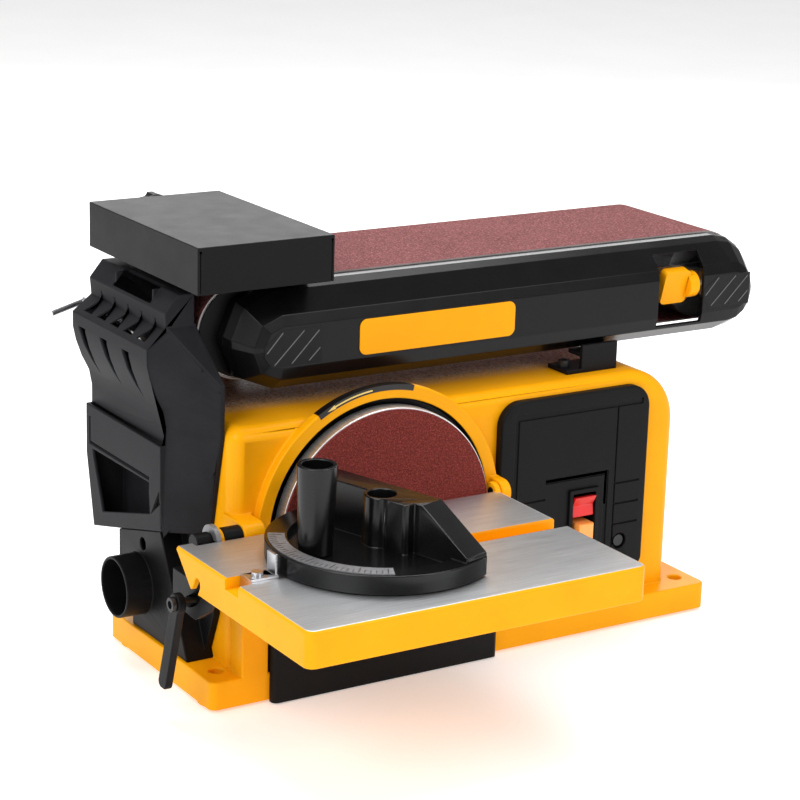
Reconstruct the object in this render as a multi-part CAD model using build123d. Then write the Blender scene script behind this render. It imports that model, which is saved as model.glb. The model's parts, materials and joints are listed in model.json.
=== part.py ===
from build123d import *
import math
import os

os.makedirs("parts", exist_ok=True)

# Belt and disc sander, in millimetres.
# Origin: centre of the four base bolt holes, on the bench.
# +X runs along the belt arm, +Y goes to the back, +Z is up.

# Sizes of the consumables, which set the scale of the machine
abrasive_radius = 75.0
belt_width = 100.0
belt_loop = 914.0

# Fits
running_clearance = 0.05
belt_clearance = 0.3
open_clearance = 0.5

# Base and housing
base_half_length = 192.0
base_half_depth = 72.0
flange_top = 20.0
flange_wall = 6.0
foot_lift = 2.0
bolt_half_x = 179.0
bolt_half_y = 54.0
bolt_hole_radius = 4.5
bolt_boss_radius = 12.0
house_left = -171.0
house_right = 169.0
house_front = -57.0
house_back = 67.0
house_top = 174.0
house_wall = 6.0
house_corner = 38.0
house_edge = 9.0
base_corner = 5.0
pillar_top = 80.0
cover_plate = 3.0
vent_left = 40.0
vent_right = 130.0
vent_bottom = 50.0
vent_pitch = 12.0
vent_height = 5.0
house_screw_inset = 12.0
house_screw_low = 14.0
house_screw_high = 120.0
gland_x = -140.0
gland_z = 40.0
gland_radius = 7.0
screw_radius = 4.0
screw_head = 2.5
house_rear_face = house_back + cover_plate

# Motor line: disc at the front, pulley at the back
motor_x = -68.0
motor_z = 102.4
disc_face = -71.0
paper_thickness = 1.0
plate_radius = abrasive_radius + 1.0
plate_thickness = 10.0
motor_shaft_radius = 7.0
ring_inner = plate_radius + 4.0
ring_outer = ring_inner + 9.0
ring_front = house_front - 6.0
stator_radius = 50.0
rotor_radius = 28.0
bearing_width = 9.0
motor_bearing_radius = 16.0
stator_front = -33.0
stator_back = 40.0
end_plate_back = 52.0
fan_front = 54.0
fan_back = 64.0
fan_hub_radius = 14.0
fan_radius = 44.0
disc_hub_radius = 18.0
shaft_hole_radius = motor_shaft_radius + 3.0

# Belt arm
drum_x = -142.0
drum_z = 223.0
belt_thickness = 1.0
belt_inner = 30.0
belt_outer = belt_inner + belt_thickness
drum_radius = belt_inner - belt_clearance
belt_front = -13.0
belt_back = belt_front + belt_width
drum_spacing = (belt_loop - 2 * math.pi * (belt_inner + belt_thickness / 2)) / 2
idler_x = drum_x + drum_spacing
drum_shaft_radius = 8.0
bush_radius = drum_shaft_radius + 4.0
arm_plate = 3.0
plate_gap = 1.5
arm_front = belt_front - plate_gap
arm_back = belt_back + plate_gap
frame_left = drum_x + 38.0
frame_right = idler_x - 83.0
frame_wall = 4.0
platen_thickness = 4.0
platen_top = drum_z + belt_inner - belt_clearance
frame_top = platen_top - platen_thickness
frame_bottom = drum_z - 24.0
axle_radius = 6.0
yoke_height = 20.0
rod_radius = 4.0
rod_half_pitch = 27.0
yoke_reach = 59.0
yoke_bar = 8.0
rod_reach = 42.0
platen_reach = 38.0
side_disc = 0.7
tracking_screw_radius = 3.0
spring_radius = 7.0
spring_wire = 0.9
idler_bearing_radius = 15.0
rear_cover_depth = 14.0
rear_cover_drop = 9.0
rear_cover_start = 76.0
cover_post_x = -60.0, 30.0, 110.0
rear_cover_lift = 7.0

# Drive at the back of the machine
sleeve_radius = 16.0
support_front = arm_back + arm_plate + plate_gap
support_thickness = 10.0
support_back = support_front + support_thickness
pulley_radius = 20.0
pulley_width = 10.0
pulley_front = support_back + 3.0
pulley_back = pulley_front + pulley_width
drive_belt_thickness = 3.0
drive_cover_radius = 30.0
drive_cover_back = pulley_back + 5.0
drive_cover_wall = 2.0

# Front cover of the arm
cover_wall = 2.5
cover_back = belt_front - 1.0
cover_front = belt_front - 28.0
cover_left = drum_x - 18.0
cover_right = idler_x + 30.0
cover_top = drum_z + 30.0
cover_bottom = drum_z - 35.0
strip_left = -74.0
strip_right = 43.0
strip_bottom = drum_z - 17.0
strip_top = drum_z + 6.0
strip_thickness = 1.0
window_left = 161.0
window_right = 199.0
window_bottom = drum_z - 25.0
window_top = drum_z + 23.0
knob_y = belt_front - 18.0
knob_hub_radius = 9.0
tension_travel = 8.0
knob_wing = 7.0
knob_reach = 12.0
knob_lean = 15.0

# Work rest over the left drum
rest_left = drum_x - 50.0
rest_right = drum_x + 43.0
rest_front = -51.0
rest_back = 100.0
rest_bottom = drum_z + belt_outer + 4.0
rest_top = rest_bottom + 29.0
rest_wall = 1.5
fold_gap = 0.6
rest_knob_radius = 9.0
rest_pivot_x = rest_right - 6.0
rest_pivot_z = rest_bottom + 4.0
rest_pin_radius = 4.0
strap_thickness = 3.0
rest_knob_z = rest_top - 9.0

# Work table
table_left = -217.0
table_right = 13.5
table_front = -231.0
table_back = disc_face - 3.0
table_top = motor_z + 11.6
table_plate = 8.0
table_skirt = 22.0
skirt_wall = 4.0
table_edge = 2.0
pivot_y = disc_face + 1.0
pivot_z = table_top - 2.0
ear_radius = 7.0
scale_radius = 10.0
scale_thickness = 3.0
left_pin_radius = 5.0
right_pin_radius = 3.5
slot_y = -143.0
slot_width = 16.0
slot_depth = 7.0
lock_y = -82.0
lock_z = 81.0
lock_bolt_radius = 3.0
lever_thickness = 5.0
lever_hub_radius = 6.5
lever_drop = 60.0
lever_swing = 17.0
bolt_head_radius = 4.5
bolt_head_length = 3.0
trunnion_thickness = 4.0
table_tilt = 45.0

# Mitre gauge
mitre_x = -118.0
mitre_turn = 17.5
mitre_radius = 68.5
bar_overhang = 21.0
bar_right_reach = 60.0
mitre_post_radius = 5.0
hub_radius = 11.0
mitre_base_top = table_top + 12.0
fence_far = 17.0
fence_thickness = 18.0
fence_half = 66.0
fence_slope = 34.5
fence_top = table_top + 38.5
scale_half_angle = 48.0
gauge_lift = 0.4
tray_depth = 4.0
scale_edge = 2.0
scale_width = 10.0
tray_rim = 14.0
clamp_stud_radius = 3.0
clamp_radius = 12.0
clamp_taper = 2.0
clamp_height = 50.0
clamp_gap = 1.44
clamp_bearing = math.radians(159.7554)
clamp_distance = mitre_radius - tray_rim - clamp_gap - (clamp_radius - clamp_taper)
clamp_x = clamp_distance * math.cos(clamp_bearing)
clamp_y = clamp_distance * math.sin(clamp_bearing)

# Lower guard, panel, hood and chute
guard_left = -152.0
guard_right = 15.0
guard_front = disc_face - 7.0
guard_top = 74.0
guard_wall = 2.0
panel_width = 120.0
panel_left = motor_x + ring_outer + open_clearance
panel_right = panel_left + panel_width
panel_bottom = 39.0
panel_top = 167.0
panel_thickness = 6.0
panel_screw_inset = 20.0
panel_front = house_front - panel_thickness
switch_x = panel_left + 68.0
switch_z = 80.5
switch_half_x = 9.0
switch_half_z = 17.5
switch_rim = 3.0
switch_back = panel_front + 25.0
switch_tail = 10.0
rocker_y = panel_front + 4.0
rocker_z = switch_z + 8.5
groove_depth = 2.0
bay_left = panel_left + 37.0
bay_right = panel_left + 88.0
bay_top = 111.0
column_x = panel_left + 93.0
hood_front = belt_front - 3.0
hood_back = belt_back + 5.0
cheek_front = hood_front - 31.0
hood_wall = 2.2
groove_depth = 1.0
groove_width = 1.5
hood_clear = belt_outer + 3.0
hood_left = house_left - 37.0
hood_waist = house_left - 25.0
frame_left_x = house_left - 28.0
hood_low_x = house_left - 22.0
hood_low_front = 101.0
hood_low_drop = 29.0
outlet_top = 157.0
key_x = hood_waist + 2.0
key_z = drum_z - 1.0
key_radius = 2.5
key_short = 24.0
key_depth = 60.0
key_bend_y = hood_back + 12.0
key_droop = 15.0
port_y = 32.0
port_z = 51.0
port_radius = 20.0
port_bore = 18.0
port_end = house_left - 37.0
chute_left = house_left - 19.0
chute_wall = 2.0
chute_gap = 1.5
chute_shoulder = 2.0
chute_foot = -35.0
bracket_front = cover_front - 1.5
bracket_left = 98.0
bracket_right = 127.0
bracket_sheet = 3.0


# Shape helpers

def block(x0, x1, y0, y1, z0, z1):
    centre = Pos((x0 + x1) / 2, (y0 + y1) / 2, (z0 + z1) / 2)
    return centre * Box(x1 - x0, y1 - y0, z1 - z0)


def rod_x(x0, x1, y, z, radius):
    return Pos((x0 + x1) / 2, y, z) * Rot(0, 90, 0) * Cylinder(radius, x1 - x0)


def rod_y(x, y0, y1, z, radius):
    return Pos(x, (y0 + y1) / 2, z) * Rot(90, 0, 0) * Cylinder(radius, y1 - y0)


def rod_z(x, y, z0, z1, radius):
    return Pos(x, y, (z0 + z1) / 2) * Cylinder(radius, z1 - z0)


def prism_x(points, x0, x1):
    outline = make_face(Polyline(*[(x0, y, z) for y, z in points], close=True))
    return extrude(outline, amount=x1 - x0, dir=(1, 0, 0))


def prism_y(points, y0, y1):
    outline = make_face(Polyline(*[(x, y0, z) for x, z in points], close=True))
    return extrude(outline, amount=y1 - y0, dir=(0, 1, 0))


def prism_z(points, z0, z1):
    outline = make_face(Polyline(*[(x, y, z0) for x, y in points], close=True))
    return extrude(outline, amount=z1 - z0, dir=(0, 0, 1))


def strip_y(start, end, radius, y0, y1):
    """Bar with round ends between two (x, z) centres, extruded along Y."""
    dx = end[0] - start[0]
    dz = end[1] - start[1]
    length = math.hypot(dx, dz)
    side_x = -dz / length * radius
    side_z = dx / length * radius
    corners = [
        (start[0] + side_x, start[1] + side_z),
        (end[0] + side_x, end[1] + side_z),
        (end[0] - side_x, end[1] - side_z),
        (start[0] - side_x, start[1] - side_z),
    ]
    body = prism_y(corners, y0, y1)
    body += rod_y(start[0], y0, y1, start[1], radius)
    body += rod_y(end[0], y0, y1, end[1], radius)
    return body


def group(solids):
    joined = solids[0]
    for solid in solids[1:]:
        joined += solid
    return joined


def save(name, shape):
    export_step(shape, f"parts/{name}.step")


# Housing

def flange_pocket():
    return block(
        -base_half_length + flange_wall, base_half_length - flange_wall,
        -base_half_depth + flange_wall, base_half_depth - flange_wall,
        0, flange_top - flange_wall)


def bolt_positions():
    return [(x, y) for x in (-bolt_half_x, bolt_half_x) for y in (-bolt_half_y, bolt_half_y)]


def rounded_shell(inset, y0, y1, bottom):
    body = block(house_left + inset, house_right - inset, y0, y1, bottom, house_top - inset)
    top_edges = body.edges().filter_by(Axis.Y).group_by(Axis.Z)[-1].sort_by(Axis.X)
    body = fillet(top_edges[-1], house_corner - inset)
    top_edges = body.edges().filter_by(Axis.Y).group_by(Axis.Z)[-1].sort_by(Axis.X)
    return fillet(top_edges[0], house_edge)


def base_housing():
    flange = block(-base_half_length, base_half_length, -base_half_depth, base_half_depth,
                   foot_lift, flange_top)
    flange = fillet(flange.edges().filter_by(Axis.Z), base_corner)
    flange -= flange_pocket()
    for x, y in bolt_positions():
        flange += rod_z(x, y, 0, flange_top - 1, bolt_boss_radius)
    outer = rounded_shell(0, house_front, house_back, flange_top - flange_wall)
    front_rim = [edge for edge in outer.faces().sort_by(Axis.Y)[0].edges()
                 if edge.center().Z > flange_top]
    outer = fillet(front_rim, house_edge)
    cavity = rounded_shell(house_wall, house_front + house_wall, house_back + 1, flange_top)
    pillar = block(house_left, guard_left - open_clearance, -base_half_depth, house_front + 1,
                   flange_top - 1, pillar_top)
    housing = flange + outer + pillar
    ring = rod_y(motor_x, ring_front, house_front + 1, motor_z, ring_outer)
    housing += ring - block(motor_x - ring_outer, motor_x + ring_outer, ring_front - 1, house_front + 2,
                            motor_z - ring_outer, guard_top + 7)
    for x0, x1 in left_boss_span(), right_boss_span():
        housing += rod_x(x0, x1, pivot_y, pivot_z, ear_radius + 1)
        housing += block(x0, x1, pivot_y, house_front + house_edge, pivot_z - ear_radius - 1,
                         pivot_z + ear_radius + 1)
    housing -= rod_y(motor_x, ring_front - 1, house_front, motor_z, ring_inner)
    housing -= cavity
    housing -= rod_y(motor_x, house_front - 1, house_front + house_wall + 1, motor_z,
                     motor_shaft_radius + 2)
    housing -= switch_hole(house_front - 1, house_front + house_wall + 1)
    housing -= block(house_left - 1, house_left + house_wall + 1, port_y - port_bore, port_y + port_bore,
                     port_z - port_bore, port_z + port_bore)
    left_end, right_end = left_boss_span(), right_boss_span()
    housing -= rod_x(left_end[0] - 1, left_end[1] + 1, pivot_y, pivot_z, left_pin_radius)
    housing -= rod_x(right_end[0] - 1, right_end[1] + 1, pivot_y, pivot_z, right_pin_radius)
    for x, y in bolt_positions():
        housing -= rod_z(x, y, -1, flange_top + 1, bolt_hole_radius)
    return housing


def left_boss_span():
    return house_left - 2, house_left + 13


def right_boss_span():
    return table_right + open_clearance, panel_left - open_clearance


def switch_hole(y0, y1):
    return block(switch_x - switch_half_x - 1, switch_x + switch_half_x + 1, y0, y1,
                 switch_z - switch_half_z - 1, switch_z + switch_half_z + 1)


def rear_cover():
    cover = rounded_shell(0, house_back, house_rear_face, flange_top + 1)
    cover -= rod_y(motor_x, house_back - 1, house_rear_face + 1, motor_z, shaft_hole_radius)
    for row in range(5):
        z = vent_bottom + vent_pitch * row
        cover -= block(vent_left, vent_right, house_back - 1, house_rear_face + 1, z, z + vent_height)
    cover -= rod_y(gland_x, house_back - 1, house_rear_face + 1, gland_z, gland_radius)
    return cover


def cord_gland():
    gland = rod_y(gland_x, house_back - 3, house_rear_face + 8, gland_z, gland_radius)
    gland += rod_y(gland_x, house_rear_face, house_rear_face + 4, gland_z, gland_radius + 3)
    return gland - rod_y(gland_x, house_back - 4, house_rear_face + 9, gland_z, gland_radius - 3)


def screw_y(x, y, z, direction):
    """Pan head screw on a face at y; direction is the way the head faces along Y."""
    head_end = y + direction * screw_head
    return rod_y(x, min(y, head_end), max(y, head_end), z, screw_radius)


def housing_screws():
    screws = []
    for x in (house_left + house_screw_inset, house_right - house_screw_inset):
        for z in (flange_top + house_screw_low, house_screw_high):
            screws.append(screw_y(x, house_rear_face, z, 1))
    for x, z in drive_screw_points():
        screws.append(screw_y(x, drive_cover_back, z, 1))
    x, _, seat, z = panel_screw_place()
    screws.append(screw_y(x, seat, z, -1))
    return group(screws)


def drive_screw_points():
    return [(drum_x, drum_z), (motor_x, motor_z)]


# Motor

def motor_stator():
    body = rod_y(motor_x, stator_front, stator_back, motor_z, stator_radius)
    return body - rod_y(motor_x, stator_front - 1, stator_back + 1, motor_z, rotor_radius + open_clearance)


def motor_end_plates():
    plates = []
    for y0, y1 in (house_front + house_wall, stator_front), (stator_back, end_plate_back):
        plate = rod_y(motor_x, y0, y1, motor_z, stator_radius + 3)
        plate -= rod_y(motor_x, y0 - 1, y1 + 1, motor_z, motor_bearing_radius)
        plates.append(plate)
    return group(plates)


def bearing_y(x, y, z, outer, inner):
    ring = rod_y(x, y, y + bearing_width, z, outer)
    return ring - rod_y(x, y - 1, y + bearing_width + 1, z, inner + running_clearance)


def shaft_bearings():
    return group([
        bearing_y(motor_x, stator_front - bearing_width - 1, motor_z, motor_bearing_radius,
                  motor_shaft_radius),
        bearing_y(motor_x, stator_back + 1.5, motor_z, motor_bearing_radius, motor_shaft_radius),
        bearing_y(drum_x, support_front + 0.5, drum_z, sleeve_radius, drum_shaft_radius),
    ])


def motor_shaft():
    return rod_y(motor_x, disc_face + paper_thickness + 2, pulley_back, motor_z, motor_shaft_radius)


def motor_rotor():
    front, back = stator_front + 3, stator_back - 3
    rotor = rod_y(motor_x, front, back, motor_z, rotor_radius)
    return rotor - rod_y(motor_x, front - 1, back + 1, motor_z, motor_shaft_radius)


def cooling_fan():
    blades = 9
    fan = rod_y(motor_x, fan_front, fan_back, motor_z, fan_hub_radius)
    for index in range(blades):
        blade = block(fan_hub_radius - 2, fan_radius, fan_front, fan_back, -1.2, 1.2)
        fan += Pos(motor_x, 0, motor_z) * Rot(0, index * 360 / blades, 0) * blade
    return fan - rod_y(motor_x, fan_front - 1, fan_back + 1, motor_z, motor_shaft_radius)


def disc_plate():
    front = disc_face + paper_thickness
    plate = rod_y(motor_x, front, front + plate_thickness, motor_z, plate_radius)
    plate += rod_y(motor_x, front + plate_thickness, house_front - 1, motor_z, disc_hub_radius)
    return plate - rod_y(motor_x, front + 2, house_front, motor_z, motor_shaft_radius)


def abrasive_disc():
    return rod_y(motor_x, disc_face, disc_face + paper_thickness, motor_z, abrasive_radius)


# Drive

def toothed_pulley(x, z, bore):
    pulley = rod_y(x, pulley_front, pulley_back, z, pulley_radius)
    teeth = 16
    for index in range(teeth):
        angle = 2 * math.pi * index / teeth
        pulley -= rod_y(x + pulley_radius * math.cos(angle), pulley_front - 1, pulley_back + 1,
                        z + pulley_radius * math.sin(angle), 1.8)
    return pulley - rod_y(x, pulley_front - 1, pulley_back + 1, z, bore)


def timing_belt():
    ends = (drum_x, drum_z), (motor_x, motor_z)
    inner = pulley_radius + belt_clearance
    front, back = pulley_front + 0.5, pulley_back - 0.5
    loop = strip_y(*ends, inner + drive_belt_thickness, front, back)
    return loop - strip_y(*ends, inner, front - 1, back + 1)


def drive_housing():
    """Casting behind the housing that carries the drum shaft and the arm."""
    ends = (drum_x, drum_z), (motor_x, motor_z)
    plate = strip_y(*ends, drive_cover_radius, support_front, support_back)
    foot_top = (motor_x + 0.42 * (drum_x - motor_x), motor_z + 0.42 * (drum_z - motor_z))
    foot_ends = foot_top, (motor_x, motor_z)
    foot = strip_y(*foot_ends, drive_cover_radius, house_rear_face, support_front + 1)
    foot -= strip_y(*foot_ends, drive_cover_radius - 6, house_rear_face - 1, support_front)
    casting = plate + foot
    casting += rod_y(drum_x, arm_back - 0.5, support_front + 1, drum_z, sleeve_radius)
    casting -= rod_y(drum_x, support_front + 0.5, support_back + 1, drum_z, sleeve_radius)
    casting -= rod_y(drum_x, arm_back - 2, support_front + 1, drum_z, drum_shaft_radius + 2)
    return casting - rod_y(motor_x, support_front - 1, support_back + 1, motor_z,
                           motor_shaft_radius + 3)


def drive_cover():
    ends = (drum_x, drum_z), (motor_x, motor_z)
    cover = strip_y(*ends, drive_cover_radius, support_back, drive_cover_back)
    return cover - strip_y(*ends, drive_cover_radius - drive_cover_wall, support_back - 1,
                           drive_cover_back - drive_cover_wall)


def drive_drum():
    drum = rod_y(drum_x, belt_front + 0.5, belt_back - 0.5, drum_z, drum_radius)
    return drum - rod_y(drum_x, belt_front - 1, belt_back + 1, drum_z, drum_shaft_radius)


def drum_shaft():
    return rod_y(drum_x, arm_front - arm_plate - 3, pulley_back, drum_z, drum_shaft_radius)


def drum_bush():
    bush = rod_y(drum_x, arm_front - arm_plate - 2, arm_front, drum_z, bush_radius)
    return bush - rod_y(drum_x, arm_front - arm_plate - 3, arm_front + 1, drum_z,
                        drum_shaft_radius + running_clearance)


# Arm

def arm_frame():
    box = block(frame_left, frame_right, arm_front, arm_back, frame_bottom, frame_top)
    box -= block(frame_left + frame_wall, frame_right - frame_wall, arm_front + frame_wall,
                 arm_back - frame_wall, frame_bottom - 1, frame_top - frame_wall)
    half = bush_radius + 2.5
    front = block(drum_x, frame_right, arm_front - arm_plate, arm_front, drum_z - half, drum_z + half)
    front += rod_y(drum_x, arm_front - arm_plate, arm_front, drum_z, half)
    back = block(drum_x, frame_right, arm_back, arm_back + arm_plate, drum_z - half, drum_z + half)
    back += rod_y(drum_x, arm_back, arm_back + arm_plate, drum_z, sleeve_radius + 10)
    front += rod_y(drum_x, arm_front, arm_front + side_disc, drum_z, half)
    front += rod_y(drum_x, arm_front + side_disc, arm_front + 2 * side_disc, drum_z,
                   belt_inner - 2 * belt_clearance)
    frame = box + front + back + rest_lug()
    frame -= rod_y(drum_x, arm_front - arm_plate - 1, arm_front + 2, drum_z, bush_radius)
    frame -= rod_y(drum_x, arm_back - 1, arm_back + arm_plate + 1, drum_z,
                   sleeve_radius + running_clearance)
    for y in guide_rod_rows():
        frame -= rod_x(frame_right - frame_wall - 1, frame_right + 1, y, drum_z, rod_radius)
    return frame


def rest_lug():
    """Lug behind the rest's strap, with the pin that the work rest turns on."""
    lug_front = rest_back + strap_thickness + open_clearance
    lug_back = lug_front + 4
    foot_left, foot_right = drum_x + 46, drum_x + 72
    foot_low, foot_high = drum_z + 4, drum_z + bush_radius
    outline = [
        (foot_left, foot_low), (foot_right, foot_low), (foot_right, foot_high),
        (rest_pivot_x + 8, rest_pivot_z + 4), (rest_pivot_x + 4, rest_pivot_z + 8),
        (rest_pivot_x - 6, rest_pivot_z + 8), (rest_pivot_x - 8, rest_pivot_z - 4),
    ]
    lug = prism_y(outline, lug_front, lug_back)
    lug += block(foot_left, foot_right, arm_back, lug_back, foot_low, foot_high)
    return lug + rod_y(rest_pivot_x, rest_back + 0.2, lug_back, rest_pivot_z, rest_pin_radius)


def guide_rod_rows():
    middle = (belt_front + belt_back) / 2
    return middle - rod_half_pitch, middle + rod_half_pitch


def guide_rods():
    rods = [rod_x(frame_right - frame_wall, idler_x - rod_reach, y, drum_z, rod_radius)
            for y in guide_rod_rows()]
    return group(rods)


def tension_spring():
    turns = 6
    left = frame_right + spring_wire + 0.1
    length = yoke_bar_left() - left - spring_wire - 0.1
    path = Helix(pitch=length / turns, height=length, radius=spring_radius)
    coil = sweep(Plane(origin=path @ 0, z_dir=path % 0) * Circle(spring_wire), path=path)
    middle = (belt_front + belt_back) / 2
    return Pos(left, middle, drum_z) * Rot(0, 90, 0) * coil


def platen():
    return block(frame_left, idler_x - platen_reach, belt_front + 1, belt_back - 1, frame_top, platen_top)


def sanding_belt():
    ends = (drum_x, drum_z), (idler_x, drum_z)
    outer = strip_y(*ends, belt_outer, belt_front, belt_back)
    return outer - strip_y(*ends, belt_inner, belt_front - 1, belt_back + 1)


def cover_section(x0, x1, z0, z1, y):
    """Outline of the cover at one depth: coarse facets round the left end, fine ones round the right."""
    bend = 0.46 * (z1 - z0)
    corners = [
        (x1 - bend, z0 + bend, -90, 22.5), (x1 - bend, z1 - bend, 0, 22.5),
        (x0 + bend, z1 - bend, 90, 45), (x0 + bend, z0 + bend, 180, 45),
    ]
    points = []
    for centre_x, centre_z, start, step in corners:
        for index in range(round(90 / step) + 1):
            angle = math.radians(start + step * index)
            points.append((centre_x + bend * math.cos(angle), y, centre_z + bend * math.sin(angle)))
    return make_face(Polyline(*points, close=True))


def cover_loft(inset):
    """Faceted cover body; inset gives the hollow inside it."""
    depth = cover_back - cover_front
    sections = [
        (cover_back + inset, 0, 0, 0),
        (cover_back - 0.29 * depth, 0, 0, 0),
        (cover_back - 0.52 * depth, 3, 3, 0),
        (cover_front + 0.07 * depth + inset, 13, 16, 8),
        (cover_front + inset, 20, 23, 16),
    ]
    faces = []
    for y, end_inset, top_inset, bottom_inset in sections:
        faces.append(cover_section(
            cover_left + end_inset + inset, cover_right - end_inset / 2 - inset,
            cover_bottom + bottom_inset + inset, cover_top - top_inset - inset, y))
    return loft(faces, ruled=True)


def front_cover():
    cover = cover_loft(0)
    cover -= cover_loft(cover_wall)
    for x in cover_post_x:
        cover += rod_y(x, cover_front + 1, arm_front - arm_plate, drum_z - 6, 5)
    return cover - block(window_left, window_right, cover_front - 1, belt_front - 8,
                         window_bottom, window_top)


def trim_strip():
    strip = block(strip_left, strip_right, cover_front - strip_thickness, cover_front,
                  strip_bottom, strip_top)
    return fillet(strip.edges().filter_by(Axis.Y), 5)


def arm_rear_cover():
    front = arm_back + arm_plate
    back = front + rear_cover_depth
    left = drum_x + rear_cover_start
    top = cover_top - rear_cover_drop
    cover = block(left, cover_right, front, back, cover_bottom + rear_cover_lift, top)
    cover = chamfer(cover.faces().sort_by(Axis.Y)[-1].edges(), 8)
    return cover - block(left + cover_wall, cover_right - cover_wall, front - 1, back - cover_wall,
                         cover_bottom + rear_cover_lift + 6, top - 8)


def cover_screws():
    face = arm_back + arm_plate + rear_cover_depth
    return group([screw_y(x, face, drum_z, 1) for x in (-30, 80, 190)])


# Idler end

def yoke_bar_left():
    return idler_x - yoke_reach


def idler_yoke():
    left = yoke_bar_left()
    right = idler_x + yoke_height / 2
    z0, z1 = drum_z - yoke_height / 2, drum_z + yoke_height / 2
    front_face = arm_front - arm_plate
    back_face = arm_back + arm_plate - 0.3
    yoke = block(left, left + yoke_bar, front_face, back_face, z0, z1)
    yoke += block(left, right, front_face, arm_front, z0, z1)
    yoke += block(left, right, arm_back, back_face, z0, z1)
    lug_left = window_right + 3
    yoke += block(lug_left, lug_left + 8, knob_y - 5, arm_front, drum_z - 8, drum_z + 8)
    for y in guide_rod_rows():
        yoke -= rod_x(left - 1, left + yoke_bar + 1, y, drum_z, rod_radius + running_clearance)
    yoke -= rod_y(idler_x, front_face - 1, back_face + 1, drum_z, axle_radius)
    return yoke - rod_x(lug_left - 1, lug_left + 9, knob_y, drum_z, tracking_screw_radius
                        + running_clearance)


def idler_axle():
    return rod_y(idler_x, arm_front - arm_plate, arm_back + arm_plate - 0.3, drum_z, axle_radius)


def idler_drum():
    drum = rod_y(idler_x, belt_front + 0.5, belt_back - 0.5, drum_z, drum_radius)
    drum -= rod_y(idler_x, belt_front - 1, belt_back + 1, drum_z, axle_radius + 3)
    for y in belt_front + 0.5, belt_back - 0.5 - bearing_width:
        drum -= rod_y(idler_x, y, y + bearing_width, drum_z, idler_bearing_radius)
    return drum


def idler_bearings():
    return group([
        bearing_y(idler_x, belt_front + 0.5, drum_z, idler_bearing_radius, axle_radius),
        bearing_y(idler_x, belt_back - 0.5 - bearing_width, drum_z, idler_bearing_radius, axle_radius),
    ])


def tracking_knob():
    hub_left, hub_right = window_right - 10, window_right - 2
    hub = rod_x(hub_left, hub_right, knob_y, drum_z, knob_hub_radius)
    wing_left = window_left + tension_travel + open_clearance
    wing = Box(hub_left + 2 - wing_left, knob_wing, 2 * knob_reach)
    wing = fillet(wing.edges().filter_by(Axis.Y), knob_wing / 2)
    knob = hub + Pos((hub_left + 2 + wing_left) / 2, knob_y, drum_z) * Rot(knob_lean, 0, 0) * wing
    return knob - rod_x(hub_left + 2, hub_right + 1, knob_y, drum_z, tracking_screw_radius)


def tracking_screw():
    return rod_x(window_right - 8, window_right + 14, knob_y, drum_z, tracking_screw_radius)


# Work rest

def work_rest():
    rest = block(rest_left, rest_right, rest_front, rest_back, rest_bottom, rest_top)
    rest -= block(rest_left + rest_wall, rest_right - rest_wall, rest_front + rest_wall,
                  rest_back - rest_wall, rest_bottom - 1, rest_top - rest_wall)
    for x in rest_left + rest_wall, rest_right - rest_wall - fold_gap:
        for y0, y1 in (rest_front, rest_front + rest_wall), (rest_back - rest_wall, rest_back):
            rest -= block(x, x + fold_gap, y0 - 1, y1 + 1, rest_bottom - 1, rest_top - 2 * rest_wall)
            rest -= Pos(x + fold_gap / 2, (y0 + y1) / 2, rest_top - 2 * rest_wall) * Sphere(2 * fold_gap)
    return rest - rod_y(drum_x, rest_back - rest_wall - 1, rest_back + 1, rest_knob_z, 3)


def rest_strap():
    ends = (drum_x, rest_knob_z), (rest_pivot_x, rest_pivot_z)
    strap = strip_y(*ends, 8, rest_back, rest_back + strap_thickness)
    strap -= rod_y(rest_pivot_x, rest_back - 1, rest_back + strap_thickness + 1, rest_pivot_z,
                   rest_pin_radius + running_clearance)
    return strap - rod_y(drum_x, rest_back - 1, rest_back + strap_thickness + 1, rest_knob_z, 3)


def rest_knob():
    front = rest_back + strap_thickness
    knob = rod_y(drum_x, front, front + 12, rest_knob_z, rest_knob_radius)
    reach = rest_knob_radius + 2
    for index in range(6):
        angle = math.radians(60 * index)
        knob -= rod_y(drum_x + reach * math.cos(angle), front + 3, front + 13,
                      rest_knob_z + reach * math.sin(angle), reach / 3)
    return knob + rod_y(drum_x, rest_back - rest_wall - 4, front + 1, rest_knob_z,
                        3 - running_clearance)


# Table

def table_rear_cut(shift, x0, x1):
    """Wedge taken off the lower rear edge, so that the table clears the disc when tilted."""
    return prism_x([(table_back - shift, pivot_z - 1), (table_back - shift - 40, pivot_z - 41),
                    (table_back + 20, pivot_z - 41), (table_back + 20, pivot_z - 1)], x0, x1)


def lock_slot(x0, x1):
    """Arc slot that the lock bolt travels through while the table tilts."""
    radius = math.hypot(lock_y - pivot_y, lock_z - pivot_z)
    start = math.degrees(math.atan2(lock_z - pivot_z, lock_y - pivot_y))
    half = lock_bolt_radius + open_clearance
    outer = rod_x(x0, x1, pivot_y, pivot_z, radius + half)
    outer -= rod_x(x0 - 1, x1 + 1, pivot_y, pivot_z, radius - half)
    reach = 2 * radius
    corners = [(pivot_y, pivot_z)]
    for step in range(4):
        angle = math.radians(start - table_tilt * step / 3)
        corners.append((pivot_y + reach * math.cos(angle), pivot_z + reach * math.sin(angle)))
    slot = outer & prism_x(corners, x0, x1)
    for angle in math.radians(start), math.radians(start - table_tilt):
        slot += rod_x(x0, x1, pivot_y + radius * math.cos(angle), pivot_z + radius * math.sin(angle),
                      half)
    return slot


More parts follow.
